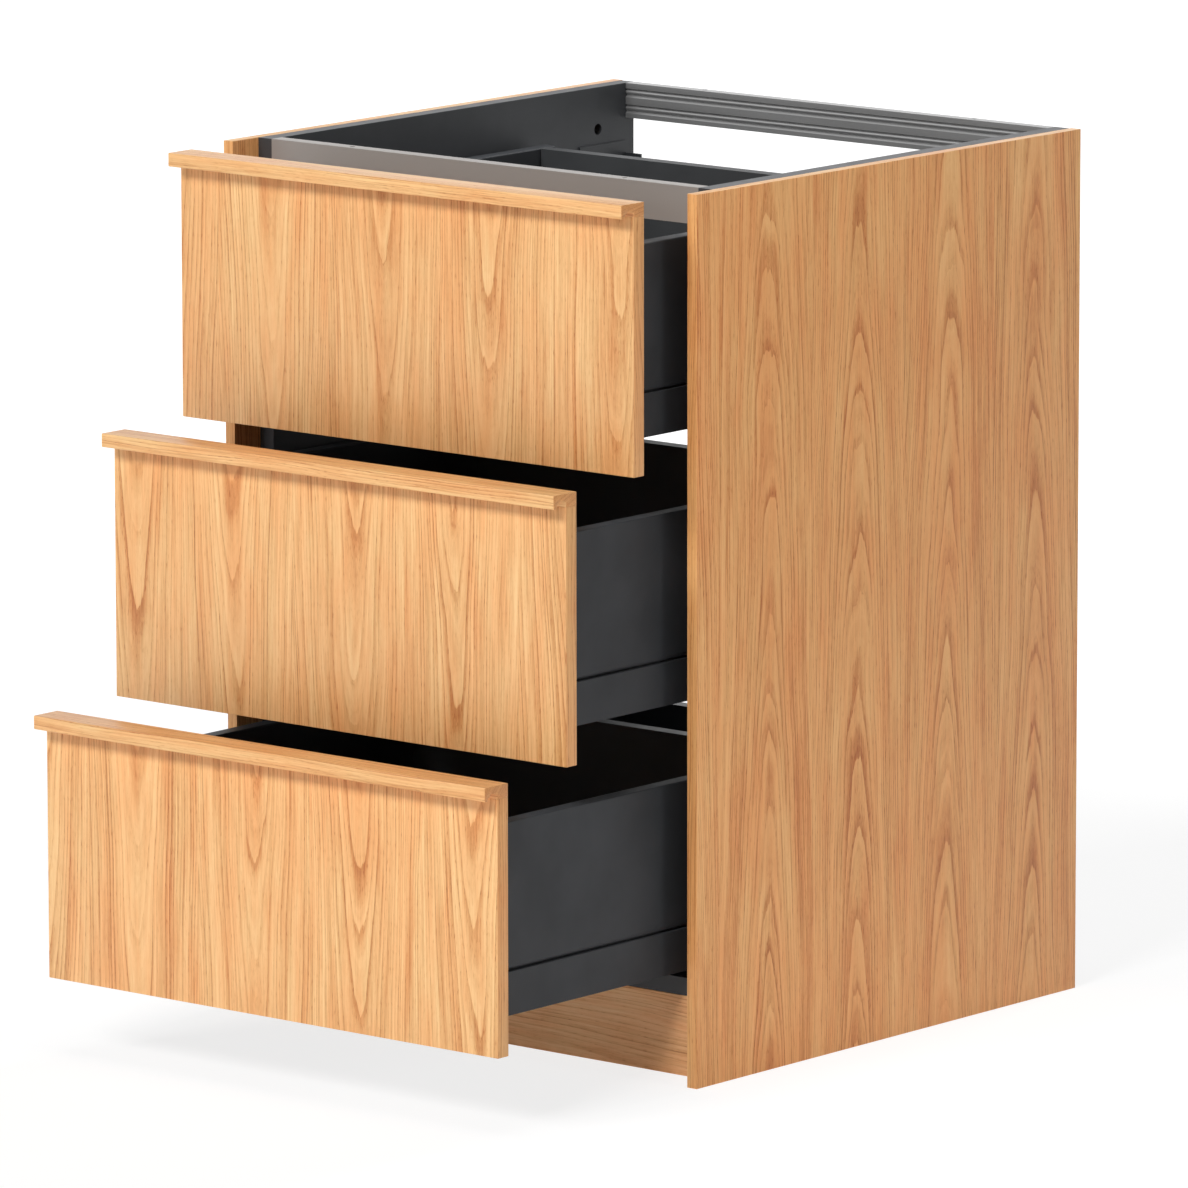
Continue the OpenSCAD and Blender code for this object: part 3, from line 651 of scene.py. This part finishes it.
def groove_bit(strip_low, strip_high, panel_y):
    """The round bit, cut flat where the panel's face is."""
    drop = GROOVE_HEIGHT - GROOVE_RADIUS
    centre_y = strip_low.y + LIP + math.sqrt(GROOVE_RADIUS ** 2 - drop ** 2)
    centre = Vector((0, centre_y, strip_low.z + drop))
    only(None)
    bpy.ops.mesh.primitive_cylinder_add(vertices=BIT_SIDES, radius=GROOVE_RADIUS,
                                        depth=(strip_high.x - strip_low.x) + BIT_OVERRUN,
                                        location=centre, rotation=(0, math.pi / 2, 0))
    bit = bpy.context.object
    bpy.ops.object.transform_apply(location=True, rotation=True, scale=True)
    bpy.ops.object.mode_set(mode="EDIT")
    bpy.ops.mesh.select_all(action="SELECT")
    bpy.ops.mesh.bisect(plane_co=(0, panel_y, 0), plane_no=(0, 1, 0), use_fill=True, clear_outer=True)
    leave_edit()
    return bit


def apply_modifier(piece, kind, **options):
    """Adds a modifier with these options and applies it at once."""
    only(piece)
    added = piece.modifiers.new(kind.title(), kind)
    for name, value in options.items():
        setattr(added, name, value)
    bpy.ops.object.modifier_apply(modifier=added.name)


def handle_strip(row):
    """The strip of one drawer, in place of the CAD one."""
    low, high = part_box(f"{row}_handle_strip")
    panel_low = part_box(f"{row}_front_panel")[0]
    made = start_cube(f"{row}_grip_strip", low, high)
    only(made)
    points = made.data.vertices

    def long_front(edge):
        first, second = (points[i].co for i in edge.vertices)
        at_front = abs(first.y - low.y) < SAME_PLACE and abs(second.y - low.y) < SAME_PLACE
        return at_front and abs(first.x - second.x) > LONG_EDGE
    choose(made, "edges", long_front)
    bpy.ops.mesh.bevel(offset=STRIP_ROUND, offset_type="WIDTH", segments=5, affect="EDGES")
    leave_edit()
    bit = groove_bit(low, high, panel_low.y)
    apply_modifier(made, "BOOLEAN", operation="DIFFERENCE", object=bit, solver="EXACT")
    bpy.data.objects.remove(bit)
    apply_modifier(made, "BEVEL", width=STRIP_EASE, segments=2, limit_method="ANGLE",
                   angle_limit=math.radians(40))
    made.data.materials.append(strip_oak[row])
    made.data.materials.append(strip_end)
    for face in made.data.polygons:
        face.material_index = int(abs(face.normal.x) > FACING)
    smooth(made, 30)
    return finish_piece(made, f"{row}_drawer", "oak_solid", f"{row}_handle_strip")


for row in ROWS:
    strip = handle_strip(row)
    print(strip.name, len(strip.data.polygons), "faces")

# %% [markdown]
# ## The legs
# A cabinet leg is two moulded parts: a ribbed socket that plugs into the bottom board, and a
# foot on a threaded tube that screws up into it. Both are round. They could be spun from a
# profile, but a circle that is extruded and resized again and again does the same and shows
# every step: each step is a height and a radius. Ribs are side faces pulled out one by one,
# which is an inset with a depth, and the notches round the foot are pushed in the same way.
#
# The thread is a stack of thin rings from an Array modifier. A true thread is one long screw
# line, but at a 3 mm pitch on a black tube nobody can tell, and rings close cleanly.

# %% Round bodies
ROUND_SIDES = 48
SOCKET_STEPS = ((96, 5.2), (95.2, 6), (83, 6), (83, 26.4), (82.4, 27), (79.6, 27), (79, 26.4), (79, 18.3),
                (50, 18.3), (49, 17.6), (49, 16), (49.6, 15.3), (78.9, 15.3))
FOOT_STEPS = ((0, 23.2), (0.8, 24), (5.2, 24), (6, 22.6), (12, 14.4), (77, 14.4), (77.8, 13.6))
THREAD_PITCH = 3 * MM
THREAD_RADIUS = 14.5 * MM
THREAD_HEIGHT = 0.5 * MM
THREAD_START = 16 * MM
THREAD_TURNS = 20


def round_body(name, x, y, steps):
    """A round body through the steps (height, radius) in mm, closed at both ends."""
    height, radius = steps[0]
    only(None)
    bpy.ops.mesh.primitive_circle_add(vertices=ROUND_SIDES, radius=radius * MM, fill_type="NGON",
                                      location=(x, y, height * MM))
    made = bpy.context.object
    made.name = made.data.name = name
    bpy.ops.object.transform_apply(location=True, rotation=True, scale=True)
    choose(made, "faces", lambda face: True)
    for next_height, next_radius in steps[1:]:
        rise = (next_height - height) * MM
        bpy.ops.mesh.extrude_region_move(TRANSFORM_OT_translate={"value": (0, 0, rise)})
        share = next_radius / radius
        bpy.ops.transform.resize(value=(share, share, 1), center_override=(x, y, next_height * MM))
        height, radius = next_height, next_radius
    bpy.ops.mesh.select_all(action="SELECT")
    bpy.ops.mesh.normals_make_consistent(inside=False)
    leave_edit()
    return made


def press_sides(piece, x, y, low, high, every, edge, depth):
    """Pulls out or pushes in every nth side face that lies between two heights in mm."""
    def chosen(face):
        middle = face.center
        turn = math.atan2(middle.y - y, middle.x - x) % math.tau
        number = math.floor(turn / math.tau * ROUND_SIDES)
        return abs(face.normal.z) < 0.1 and low < middle.z / MM < high and number % every == 0
    only(piece)
    choose(piece, "faces", chosen)
    bpy.ops.mesh.inset(thickness=edge * MM, depth=depth * MM, use_individual=True)
    leave_edit()


def first_leg(x, y):
    """One socket and its foot with the thread. The other three legs are copies of them."""
    socket = round_body("leg_socket_1", x, y, SOCKET_STEPS)
    press_sides(socket, x, y, low=60, high=70, every=4, edge=0.3, depth=1.5)
    foot = round_body("leg_foot_1", x, y, FOOT_STEPS)
    press_sides(foot, x, y, low=1, high=5, every=2, edge=0.3, depth=-0.6)
    only(None)
    bpy.ops.mesh.primitive_torus_add(major_segments=ROUND_SIDES, minor_segments=6,
                                     major_radius=THREAD_RADIUS, minor_radius=THREAD_HEIGHT,
                                     location=(x, y, THREAD_START))
    ring = bpy.context.object
    bpy.ops.object.transform_apply(location=True, rotation=True, scale=True)
    apply_modifier(ring, "ARRAY", count=THREAD_TURNS, use_relative_offset=False, use_constant_offset=True,
                   constant_offset_displace=(0, 0, THREAD_PITCH))
    only(foot)
    ring.select_set(True)
    bpy.ops.object.join()
    for piece in (socket, foot):
        piece.data.materials.append(black_plastic)
        smooth(piece, 30)
    return socket, foot


socket_low, socket_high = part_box("leg_sockets")
SOCKET_REACH = max(radius for height, radius in SOCKET_STEPS) * MM
leg_x = (socket_low.x + SOCKET_REACH, socket_high.x - SOCKET_REACH)
leg_y = (socket_low.y + SOCKET_REACH, socket_high.y - SOCKET_REACH)
socket, foot = first_leg(leg_x[0], leg_y[0])
corners = [(x, y) for x in leg_x for y in leg_y]
for number, (x, y) in enumerate(corners, 1):
    for first, node in ((socket, "leg_sockets"), (foot, "leg_feet")):
        piece = first
        if number > 1:
            piece = first.copy()
            piece.data = first.data.copy()
            piece.name = piece.data.name = f"{first.name[:-1]}{number}"
            piece.data.transform(Matrix.Translation((x - leg_x[0], y - leg_y[0], 0)))
            bpy.context.scene.collection.objects.link(piece)
        finish_piece(piece, "cabinet", "black_plastic", node)
print("legs at", [tuple(round(v / MM) for v in corner) for corner in corners])

# %% [markdown]
# ## Studio
# The picture has a white ground and even light. Two broad lamps in front, well above, light
# the fronts and put a soft shadow under each handle strip. A faint one low down reaches under
# the strips. One square to the right lights the cover panel and the drawers' sides, and one
# behind and one above the cabinet brighten everything that faces up. The last and faintest
# stands low behind the left corner, where the camera sees its sheen on the strips' tops.
#
# The levels can be found without guessing, because light adds up: render each lamp alone, then
# look for the sum that comes nearest to the tones wanted. The world itself adds almost nothing.
# Only what the camera or a reflection sees of it is white, so the ground is bright without
# flooding the cabinet's inside.

# %% World, floor and lamps
AMBIENT = 0.01
LAMP_DISTANCE = 12.0
LAMP_AIM = Vector((0, 0, 0.45))


def make_world():
    world = bpy.data.worlds.new("Studio")
    world.use_nodes = True
    tree = world.node_tree
    tree.nodes.clear()
    path = put(tree, "ShaderNodeLightPath").outputs
    seen = calc(tree, "MAXIMUM", path["Is Camera Ray"], path["Is Glossy Ray"])
    seen = calc(tree, "MAXIMUM", seen, path["Is Transmission Ray"])
    glow = put(tree, "ShaderNodeBackground", {"Color": (1, 1, 1, 1), "Strength": AMBIENT}).outputs[0]
    white = put(tree, "ShaderNodeBackground", {"Color": (1, 1, 1, 1), "Strength": 1.0}).outputs[0]
    mixed = put(tree, "ShaderNodeMixShader", {0: seen, 1: glow, 2: white}).outputs[0]
    put(tree, "ShaderNodeOutputWorld", {"Surface": mixed})
    bpy.context.scene.world = world


def lamp(name, azimuth, elevation, size, level):
    """A square area lamp that lights a surface facing it to the given level, where 1 shows a
    colour as it is written."""
    data = bpy.data.lights.new(name, "AREA")
    data.size = size
    data.energy = level * math.pi ** 2 * LAMP_DISTANCE ** 2
    made = bpy.data.objects.new(name, data)
    angle, rise = math.radians(azimuth), math.radians(elevation)
    outward = Vector((math.sin(angle) * math.cos(rise), -math.cos(angle) * math.cos(rise), math.sin(rise)))
    made.location = LAMP_AIM + outward * LAMP_DISTANCE
    made.rotation_mode = "QUATERNION"
    made.rotation_quaternion = (-outward).to_track_quat("-Z", "Y")
    bpy.context.scene.collection.objects.link(made)
    print(name, round(data.energy), "W")


make_world()
LAMPS = {
    "Front lamp": (12, 36, 3.0, 0.40),
    "Front fill": (-15, 38, 3.0, 0.285),
    "Low fill": (0, 12, 3.0, 0.04),
    "Right lamp": (90, 20, 2.0, 0.13),
    "Back lamp": (180, 50, 3.0, 0.32),
    "Top lamp": (0, 80, 3.0, 0.12),
    "Sheen lamp": (218, 13, 3.0, 0.01),
}
for name, values in LAMPS.items():
    lamp(name, *values)
bpy.context.scene.view_settings.view_transform = "Standard"

# %% [markdown]
# The floor is one large plane, a hair below the feet. As plain paint it would come out grey
# under these lamps, and its far edge would show. So what the camera sees is a darker paint with
# a glow of its own: full white further out, and a little less near the cabinet, where the lamps
# still draw a soft shadow. For all other rays it is pale paint that glows less. That stands for
# the white studio round the cabinet, which throws light up under the fronts and against the
# plinth.

# %% Floor
FLOOR_GLOW = 0.80
FLOOR_BOUNCE = 0.30
FLOOR_SEEN = tone(140, 140, 140)
FLOOR_PAINT = tone(226, 226, 226)
FLOOR_NEAR = 1.2
FLOOR_FAR = 3.0
FLOOR_SIZE = 60
FLOOR_GAP = 0.2 * MM


def make_floor():
    only(None)
    bpy.ops.mesh.primitive_plane_add(size=FLOOR_SIZE, location=(0, 0, -FLOOR_GAP))
    floor = bpy.context.object
    floor.name = "Floor"
    made, tree, shader = shader_of("White floor")
    seen = put(tree, "ShaderNodeLightPath").outputs["Is Camera Ray"]
    place = put(tree, "ShaderNodeTexCoord").outputs["Object"]
    away = put(tree, "ShaderNodeVectorMath", {0: place}, operation="LENGTH").outputs["Value"]
    glow = remap(tree, away, FLOOR_NEAR, FLOOR_FAR, FLOOR_GLOW, 1.0)
    paint = put(tree, "ShaderNodeMix", {0: seen, 6: FLOOR_PAINT, 7: FLOOR_SEEN},
                data_type="RGBA").outputs[2]
    tree.links.new(paint, shader.inputs["Base Color"])
    light = put(tree, "ShaderNodeMix", {0: seen, 2: FLOOR_BOUNCE, 3: glow}).outputs[0]
    tree.links.new(light, shader.inputs["Emission Strength"])
    shader.inputs["Emission Color"].default_value = (1, 1, 1, 1)
    shader.inputs["Roughness"].default_value = 0.9
    shader.inputs["Specular IOR Level"].default_value = 0.1
    floor.data.materials.append(made)


make_floor()
